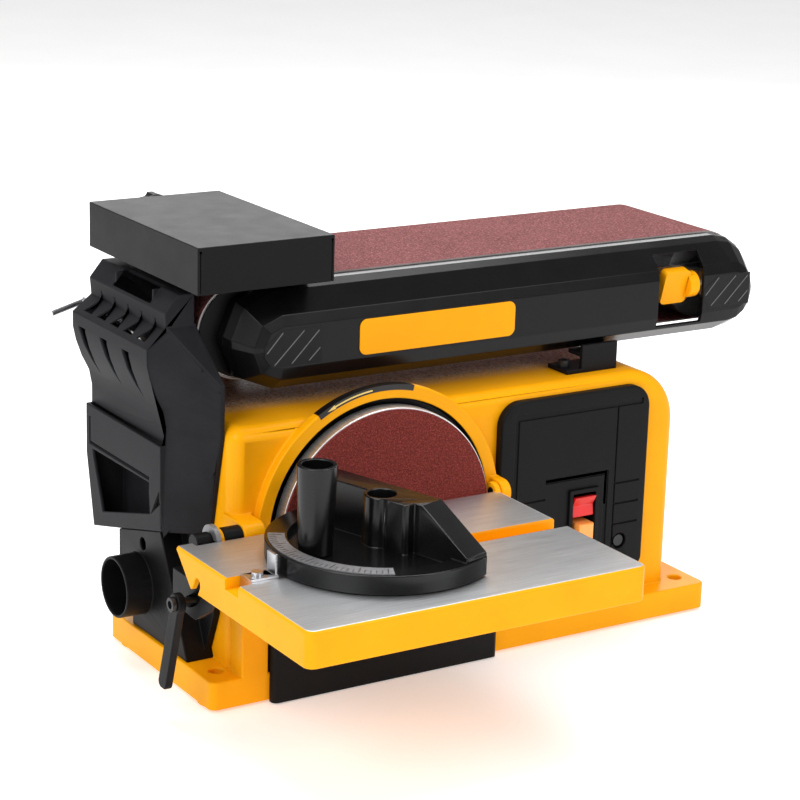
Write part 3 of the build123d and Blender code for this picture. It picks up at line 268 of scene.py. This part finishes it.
def cast_metal(name, colour, roughness):
    """Metal with a rough skin: small pits, darker than what is around them."""
    material, tree, shader = new_material(name)
    vector = coordinates(tree)
    pits = noise(tree, vector, scale=420, detail=6, roughness=0.7)
    tone = ramp(tree, pits, [(0.3, shade(colour, 0.7)), (0.7, shade(colour, 1.15))])
    tree.links.new(tone, shader.inputs["Base Color"])
    gloss = value_range(tree, pits, roughness - 0.1, roughness + 0.15)
    tree.links.new(gloss, shader.inputs["Roughness"])
    shader.inputs["Metallic"].default_value = 0.9
    bump(tree, shader, pits, strength=0.3, distance=0.0003)
    return material


def abrasive(name, bond, grit, scale):
    """Coated abrasive: dark bond with lighter grains standing out of it, worn in patches."""
    material, tree, shader = new_material(name)
    vector = coordinates(tree)
    cells = tree.nodes.new("ShaderNodeTexVoronoi")
    cells.inputs["Scale"].default_value = scale
    tree.links.new(vector, cells.inputs["Vector"])
    grains = value_range(tree, cells.outputs["Distance"], low=1.0, high=0.0, from_high=0.7)
    fine = noise(tree, vector, scale * 0.9, detail=4, roughness=0.7)
    tone = ramp(tree, fine, [(0.36, shade(bond, 0.7)), (0.5, bond), (0.62, grit)])
    wear = value_range(tree, noise(tree, vector, scale=25), low=0.0, high=0.25)
    worn = mix_colour(tree, wear, tone, shade(grit, 1.1))
    tree.links.new(worn, shader.inputs["Base Color"])
    shader.inputs["Roughness"].default_value = 0.75
    shader.inputs["Specular IOR Level"].default_value = 0.12
    bump(tree, shader, grains, strength=0.8, distance=0.0006)
    return material


def add_dust_and_shadow(material, dust_and_shadow):
    """Lays sanding dust with a painted shadow of the belt arm, as one speckle, on the part of the
    housing's flat top that is below the belt.
    """
    tree = material.node_tree
    shader = tree.nodes["Principled BSDF"]
    clean = shader.inputs["Base Color"].links[0].from_socket
    vector = coordinates(tree)
    place = split_place(tree, vector)
    height = rise(tree, place["Z"], dust_and_shadow_lowest, dust_and_shadow_level)
    depth = rise(tree, place["Y"], dust_and_shadow_start, dust_and_shadow_full)
    on_top = arithmetic(tree, "MULTIPLY", height, depth)
    grain = rise(tree, noise(tree, vector, scale=700, roughness=0.8), start=0.42, full=0.58)
    dust_and_shadow_amount = arithmetic(tree, "MULTIPLY", on_top, value_range(tree, grain, low=0.5, high=1.0))
    spots = noise(tree, vector, scale=600, detail=2, roughness=0.8)
    # Speckle of dust, darkened as a painted shadow under the belt arm.
    speckle = ramp(tree, spots, [(0.42, shade(dust_and_shadow, 0.4)), (0.58, shade(dust_and_shadow, 1.6))])
    tree.links.new(mix_colour(tree, dust_and_shadow_amount, clean, speckle), shader.inputs["Base Color"])


def paint_recess_shade(material, black):
    """Paints the housing's enamel black inside its ring, behind the disc, as the shade of the recess."""
    tree = material.node_tree
    shader = tree.nodes["Principled BSDF"]
    enamel = shader.inputs["Base Color"].links[0].from_socket
    place = split_place(tree, coordinates(tree))
    across = tree.nodes.new("ShaderNodeCombineXYZ")
    tree.links.new(place["X"], across.inputs["X"])
    tree.links.new(place["Z"], across.inputs["Z"])
    from_axis = tree.nodes.new("ShaderNodeVectorMath")
    from_axis.operation = "DISTANCE"
    tree.links.new(across.outputs["Vector"], from_axis.inputs[0])
    from_axis.inputs[1].default_value = disc_centre
    outside = rise(tree, from_axis.outputs["Value"], recess_radius - TOLERANCE, recess_radius)
    past_front = rise(tree, place["Y"], recess_front, recess_front + TOLERANCE)
    past_floor = rise(tree, place["Y"], recess_back, recess_back + TOLERANCE)
    inside_depth = arithmetic(tree, "SUBTRACT", past_front, past_floor)
    # Painted shade: the enamel turns black inside the ring's recess.
    shaded_recess = mix_colour(tree, outside, black, enamel)
    tree.links.new(mix_colour(tree, inside_depth, enamel, shaded_recess), shader.inputs["Base Color"])


materials = {
    "yellow_paint": paint("yellow_enamel", YELLOW, ENAMEL_ROUGHNESS),
    "yellow_plastic": paint("yellow_moulding", (0.93, 0.38, 0.003), roughness=0.3, peel=0.05),
    "black_plastic": moulded("black_moulding", BLACK, roughness=0.42, grain=0.2, specular=0.12),
    "black_gloss": moulded("black_gloss_moulding", shade(BLACK, 0.8), roughness=0.2, grain=0.05,
                           grain_scale=900, specular=0.19),
    "black_sheet": powder_coat("black_powder_coat", shade(BLACK, 1.2)),
    "abrasive_belt": abrasive("belt_grit", bond=(0.125, 0.032, 0.032), grit=(0.36, 0.13, 0.13),
                              scale=850),
    "abrasive_paper": abrasive("disc_grit", bond=(0.15, 0.023, 0.018), grit=(0.33, 0.055, 0.045),
                               scale=1000),
    "aluminium": brushed("machined_aluminium", (0.82, 0.83, 0.85), along=Y_AXIS, roughness=0.42),
    "table_cast": brushed("table_top_metal", (0.6, 0.61, 0.62), along=X_AXIS, roughness=0.42),
    "cast_body": cast_metal("die_cast_metal", (0.4, 0.4, 0.42), roughness=0.5),
    "steel": brushed("plain_steel", (0.6, 0.6, 0.62), along=X_AXIS, roughness=0.28),
    "motor_iron": cast_metal("motor_iron", (0.16, 0.16, 0.17), roughness=0.6),
    "rubber": moulded("black_rubber", (0.012, 0.012, 0.012), roughness=0.65, grain=0.35, grain_scale=800),
    "red_plastic": moulded("red_moulding", (0.62, 0.012, 0.012), roughness=0.3, grain=0.05,
                           grain_scale=900, coat=0.3),
    "orange_plastic": moulded("orange_moulding", (0.88, 0.32, 0.07), roughness=0.32, grain=0.05,
                              grain_scale=900, coat=0.3),
    "scale_grey": cast_metal("scale_strip", (0.3, 0.3, 0.31), roughness=0.55),
}
hood_black = moulded("hood_moulding", shade(BLACK, 4.0), roughness=0.5, grain=0.3, specular=0.08)
gauge_black = moulded("gauge_moulding", shade(BLACK, 0.8), roughness=0.2, grain=0.05,
                      grain_scale=900, specular=0.35)
dark_steel = cast_metal("blackened_steel", (0.05, 0.05, 0.052), roughness=0.4)
dusty_shadowed_enamel = paint("dusty_shadowed_yellow_enamel", YELLOW, ENAMEL_ROUGHNESS)
# The housing's top gets dust and the painted shadow of the belt arm.
add_dust_and_shadow(dusty_shadowed_enamel, DUST_AND_SHADOW)
# The recess inside the ring gets black painted shade.
paint_recess_shade(dusty_shadowed_enamel, BLACK)
cloth_edge = moulded("belt_cloth_edge", (0.36, 0.33, 0.32), roughness=0.8, grain=0.3)
grip_black = moulded("grip_moulding", shade(BLACK, 1.5), roughness=0.35, grain=0.9,
                     grain_scale=2600, specular=0.2)
ridge_black = moulded("ridge_moulding", (0.09, 0.09, 0.095), roughness=0.3, grain=0.1,
                      grain_scale=900, coat=0.2, specular=0.6)
print_black = moulded("printed_film_black", (0.006, 0.005, 0.005), roughness=0.3, grain=0.03,
                      grain_scale=600, coat=0.2)
print_yellow = paint("printed_film_yellow", (0.86, 0.62, 0.2), roughness=0.35, peel=0.04)


# Dressing of the CAD nodes: the same form with rounded edges

def clean_copy(node, crease):
    """Mesh of a node without the triangles of its flat faces, with the edges to be rounded marked."""
    mesh = nodes[node].data.copy()
    mesh.name = node + "_dressed"
    shape = bmesh.new()
    shape.from_mesh(mesh)
    bmesh.ops.remove_doubles(shape, verts=shape.verts, dist=SAME_POINT)
    bmesh.ops.dissolve_limit(shape, angle_limit=math.radians(FLAT_DEGREES), verts=shape.verts,
                             edges=shape.edges)
    weight = shape.edges.layers.float.new("bevel_weight_edge")
    for edge in shape.edges:
        lifted = min(vertex.co.z for vertex in edge.verts) > UNDERSIDE
        nearby = [near.calc_length() for vertex in edge.verts for near in vertex.link_edges]
        if lifted and min(nearby) > SHORT_EDGE and len(edge.link_faces) == 2:
            if edge.calc_face_angle() > crease:
                edge[weight] = 1.0
    shape.to_mesh(mesh)
    shape.free()
    return mesh


def dress(node, width, crease=35.0, segments=3):
    """Stands for a CAD node with its edges rounded to the given width; a width of 0 leaves them sharp."""
    mesh = clean_copy(node, math.radians(crease))
    mesh.materials.clear()
    mesh.materials.append(materials[slot_of_node[node]])
    mesh.shade_smooth()
    mesh.set_sharp_from_angle(angle=math.radians(crease))
    piece = bpy.data.objects.new(node + "_finished", mesh)
    bpy.context.scene.collection.objects.link(piece)
    if width > 0:
        rounding = piece.modifiers.new("rounded_edges", "BEVEL")
        rounding.width = width
        rounding.segments = segments
        rounding.limit_method = "WEIGHT"
        rounding.use_clamp_overlap = False
        rounding.harden_normals = True
    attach(piece, body_of_node[node])
    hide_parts(node)
    return piece


for node, holder in nodes.items():
    holder.data.materials.clear()
    holder.data.materials.append(materials[slot_of_node[node]])

edge_widths = {
    "base_housing": 0.0012, "rear_cover": 0.0006, "drive_housing": 0.001, "drive_cover": 0.002,
    "trim_strip": 0.0004, "arm_rear_cover": 0.0008, "work_rest": 0.0006,
    "rest_strap": 0.0005, "rest_knob": 0.0008, "work_table": 0.0008, "table_trunnion": 0.0005,
    "trunnion_bracket": 0.0005, "lock_lever": 0.001, "mitre_head": 0.0008, "mitre_knob": 0.0006,
    "mitre_pointer": 0.0003, "disc_guard": 0.0005, "switch_panel": 0.0005, "switch_body": 0.0005,
    "switch_rocker": 0.0006, "switch_key": 0.0006, "belt_dust_hood": 0.0008, "disc_dust_chute": 0.0008,
    "arm_rest_bracket": 0.0005, "tracking_knob": 0.0006, "lock_bolt": 0.0004, "table_pivot_pins": 0.0006,
    "cord_gland": 0.0006, "bracket_screw": 0.0004, "disc_plate": 0.0006, "housing_screws": 0.0003,
}
dressed = {node: dress(node, width) for node, width in edge_widths.items()}
dressed["front_cover"] = dress("front_cover", width=0.0004, crease=8.0, segments=2)
dressed["sanding_belt"] = dress("sanding_belt", width=0.0)
# The housing's finish holds the dust, the painted shadow under the belt arm and the painted shade in the
# ring's recess.
finish_of_node = {
    "base_housing": dusty_shadowed_enamel, "belt_dust_hood": hood_black, "bracket_screw": dark_steel,
    "lock_bolt": dark_steel, "housing_screws": dark_steel, "mitre_head": gauge_black,
    "mitre_knob": gauge_black,
}
for node, finish in finish_of_node.items():
    dressed[node].data.materials[0] = finish
nodes["cover_screws"].data.materials[0] = dark_steel


# Sanding belt: grit on its faces, bare cloth along its two edges

def paint_belt_edges(piece):
    mesh = piece.data
    mesh.materials.append(cloth_edge)
    for face in mesh.polygons:
        face.material_index = 1 if abs(face.normal.y) > FACING else 0


paint_belt_edges(dressed["sanding_belt"])


# Table: bare machined top, enamel everywhere else

def paint_table(piece):
    mesh = piece.data
    mesh.materials.append(materials["yellow_paint"])
    for face in mesh.polygons:
        is_top = face.normal.z > FACING and abs(face.center.z - table_top) < TOLERANCE
        face.material_index = 0 if is_top else 1


paint_table(dressed["work_table"])


# Small extra pieces

def add_piece(name, shape, material, body):
    """Makes a small extra piece from a bmesh and lets it ride on a body."""
    mesh = bpy.data.meshes.new(name)
    bmesh.ops.recalc_face_normals(shape, faces=shape.faces)
    shape.to_mesh(mesh)
    shape.free()
    mesh.materials.append(material)
    piece = bpy.data.objects.new(name, mesh)
    bpy.context.scene.collection.objects.link(piece)
    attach(piece, body)


def join_loops(shape, before, after):
    """Band of faces between two loops with as many points each."""
    for index in range(len(before)):
        following = (index + 1) % len(before)
        shape.faces.new((before[index], before[following], after[following], after[index]))


def extrude_outline(shape, points, offset):
    """Closed prism over a flat outline, carried along the offset vector."""
    low = [shape.verts.new(point) for point in points]
    high = [shape.verts.new(Vector(point) + Vector(offset)) for point in points]
    shape.faces.new(low)
    shape.faces.new(high)
    join_loops(shape, low, high)


# Front cover: grained grips with raised slanting lines near both ends

def slanting_line(shape, start, end):
    """Low ridge on the cover's face from one point to another, both given as x and z."""
    half_foot, half_crest, height, sunk = 0.0006, 0.0002, 0.0005, 0.0002
    first, last = Vector((start[0], 0, start[1])), Vector((end[0], 0, end[1]))
    along = (last - first).normalized()
    side = Vector((-along.z, 0, along.x))
    ends = []
    for point in (first, last):
        foot = point + Vector((0, cover_face + sunk, 0))
        crest = point + Vector((0, cover_face - height, 0))
        corners = [
            foot - side * half_foot, foot + side * half_foot,
            crest + side * half_crest, crest - side * half_crest,
        ]
        ends.append([shape.verts.new(corner) for corner in corners])
    join_loops(shape, ends[0], ends[1])
    shape.faces.new(ends[0])
    shape.faces.new(ends[1])


def add_cover_grip(name, left, low, high, step):
    """Four slanting ridges on a grained pad; the outer two are cut short by the pad's outline.

    Points are shares of the step to the right and of the grip's height upwards.
    """
    tall = high - low
    lines = [
        ((left, low + 0.4 * tall), (left + 0.72 * step, high)),
        ((left + 0.35 * step, low), (left + 1.7 * step, high)),
        ((left + 1.15 * step, low), (left + 2.4 * step, high - 0.04 * tall)),
        ((left + 1.95 * step, low + 0.03 * tall), (left + 2.45 * step, low + 0.4 * tall)),
    ]
    ridges = bmesh.new()
    for start, end in lines:
        slanting_line(ridges, start, end)
    add_piece(name + "_lines", ridges, ridge_black, "arm")
    margin, sunk, proud = 0.0015, 0.0004, 0.0002
    pad_left, pad_right = left - margin, left + 2.55 * step
    pad_low, pad_high = low - margin, high + margin
    outline = [
        (pad_left, low + 0.3 * tall), (left + 0.25 * step, pad_low), (pad_right, pad_low),
        (pad_right, pad_high), (left + 0.7 * step, pad_high), (pad_left, low + 0.6 * tall),
    ]
    pad = bmesh.new()
    extrude_outline(pad, [(x, cover_face - proud, z) for x, z in outline], (0, proud + sunk, 0))
    add_piece(name + "_grain", pad, grip_black, "arm")


add_cover_grip("left_grip", left=-0.1395, low=0.2065, high=0.2265, step=0.0152)
add_cover_grip("right_grip", left=0.2010, low=0.2085, high=0.2275, step=0.0150)


# Turning direction of the disc: a dark film round the ring with a pale arrow

def ring_point(radius, degrees, y):
    """Point round the disc's axis, at the depth y."""
    angle = math.radians(degrees)
    return disc_centre + Vector((radius * math.cos(angle), y, radius * math.sin(angle)))


def add_turning_film():
    """Film that lies on the ring's front and turns over its outer edge."""
    first, last, count = 76.0, 122.0, 40
    inner = 0.0856
    outside, under = ring_outer + film_thickness, ring_outer - film_thickness
    front, sunk = ring_front - film_thickness, ring_front + film_thickness
    back = house_front - film_thickness
    section = [
        (inner, sunk), (inner, front), (outside, front),
        (outside, back), (under, back), (under, sunk),
    ]
    film = bmesh.new()
    loops = []
    for index in range(count + 1):
        degrees = first + (last - first) * index / count
        loops.append([film.verts.new(ring_point(radius, degrees, y)) for radius, y in section])
    for before, after in zip(loops, loops[1:]):
        join_loops(film, before, after)
    film.faces.new(loops[0])
    film.faces.new(loops[-1])
    add_piece("turning_film", film, print_black, "base")


def add_turning_arrow():
    """Arrow on the film; its line follows the ring."""
    middle, half_line, half_head, raised = 0.0873, 0.0005, 0.0013, 0.0001
    tail, neck, tip, steps = 96.0, 114.0, 118.0, 18
    film_face = ring_front - film_thickness
    outer_side = []
    inner_side = []
    for index in range(steps + 1):
        degrees = tail + (neck - tail) * index / steps
        outer_side.append(ring_point(middle + half_line, degrees, film_face))
        inner_side.append(ring_point(middle - half_line, degrees, film_face))
    head = [
        ring_point(middle + half_head, neck, film_face), ring_point(middle, tip, film_face),
        ring_point(middle - half_head, neck, film_face),
    ]
    arrow = bmesh.new()
    extrude_outline(arrow, outer_side + head + inner_side[::-1], (0, -raised, 0))
    add_piece("turning_arrow", arrow, print_yellow, "base")


add_turning_film()
add_turning_arrow()


# Mitre gauge: ticks on the scale

def add_scale_ticks():
    """Ticks at equal angles from the middle of the scale, with longer ones in between."""
    scale_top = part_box("mitre_scale")[1].z
    pivot, scale_middle, outer = Vector((-0.118, -0.143, 0)), 197.5, 0.0658
    reach, spacing, long_spacing = 45, 3, 15
    long_tick, short_tick = 0.0075, 0.004
    half_width, height, sunk = 0.00022, 0.00012, 0.0002
    ticks = bmesh.new()
    for degrees in range(-reach, reach + 1, spacing):
        length = long_tick if degrees % long_spacing == 0 else short_tick
        angle = math.radians(scale_middle + degrees)
        along = Vector((math.cos(angle), math.sin(angle), 0))
        side = Vector((-along.y, along.x, 0)) * half_width
        foot = Vector((0, 0, scale_top - sunk))
        first = pivot + along * (outer - length) + foot
        last = pivot + along * outer + foot
        corners = [first - side, last - side, last + side, first + side]
        extrude_outline(ticks, corners, (0, 0, sunk + height))
    add_piece("mitre_scale_ticks", ticks, print_black, "mitre_swivel")


add_scale_ticks()


# Camera, floor and light

def add_camera():
    """Camera at the photo's viewing angle, with its slight roll."""
    place = Vector((-0.8158, -1.2600, 0.5886))
    heading, dip, roll = math.radians(32.38), math.radians(16.06), math.radians(1.72)
    sensor_mm, lens_mm, farthest = 36.0, 106.68, 20.0
    level_share = math.cos(dip)
    forward = Vector((math.sin(heading) * level_share, math.cos(heading) * level_share, -math.sin(dip)))
    right = forward.cross(Vector((0, 0, 1))).normalized()
    up = right.cross(forward)
    turned_right = right * math.cos(roll) + up * math.sin(roll)
    turned_up = up * math.cos(roll) - right * math.sin(roll)
    data = bpy.data.cameras.new("photo_camera")
    data.sensor_width = sensor_mm
    data.lens = lens_mm
    data.clip_end = farthest
    camera = bpy.data.objects.new("photo_camera", data)
    bpy.context.scene.collection.objects.link(camera)
    turn = Matrix((turned_right, turned_up, -forward)).transposed().to_4x4()
    camera.matrix_world = Matrix.Translation(place) @ turn
    bpy.context.scene.camera = camera


def add_floor():
    """Large pale floor that glows a little, so it stays white around the object."""
    material, tree, shader = new_material("pale_floor")
    clouds = noise(tree, coordinates(tree), scale=6)
    tone = ramp(tree, clouds, [(0.3, shade(WHITE, 0.86)), (0.7, shade(WHITE, 0.9))])
    tree.links.new(tone, shader.inputs["Base Color"])
    shader.inputs["Roughness"].default_value = 0.7
    shader.inputs["Emission Color"].default_value = (*WHITE, 1.0)
    shader.inputs["Emission Strength"].default_value = 0.35
    half = 20.0
    corners = [(-half, -half, 0), (half, -half, 0), (half, half, 0), (-half, half, 0)]
    mesh = bpy.data.meshes.new("floor")
    mesh.from_pydata(corners, [], [(0, 1, 2, 3)])
    mesh.materials.append(material)
    floor = bpy.data.objects.new("floor", mesh)
    bpy.context.scene.collection.objects.link(floor)


def add_area_light(name, place, target, width, height, power):
    """Rectangular lamp that faces its target."""
    data = bpy.data.lights.new(name, "AREA")
    data.shape = "RECTANGLE"
    data.size = width
    data.size_y = height
    data.energy = power
    light = bpy.data.objects.new(name, data)
    bpy.context.scene.collection.objects.link(light)
    light.location = place
    direction = Vector(target) - Vector(place)
    light.rotation_euler = direction.to_track_quat("-Z", "Y").to_euler()


def add_world():
    """Even white light from all sides."""
    world = bpy.data.worlds.new("studio")
    world.use_nodes = True
    background = world.node_tree.nodes["Background"]
    background.inputs["Color"].default_value = (*WHITE, 1.0)
    background.inputs["Strength"].default_value = 0.45
    bpy.context.scene.world = world


add_camera()
add_floor()
add_world()
add_area_light("key_light", place=(-2.0, -0.9, 1.7), target=(0, 0, 0.15), width=1.4, height=1.2, power=34)
add_area_light("front_fill", place=(1.0, -2.2, 1.5), target=(0, 0, 0.15), width=1.4, height=1.2, power=21)
add_area_light("top_light", place=(0.2, 0.5, 2.4), target=(0, 0, 0.2), width=2.2, height=1.6, power=50)
add_area_light("back_card", place=(1.1, 1.9, 1.05), target=(0, 0, 0.25), width=2.2, height=0.9, power=17)
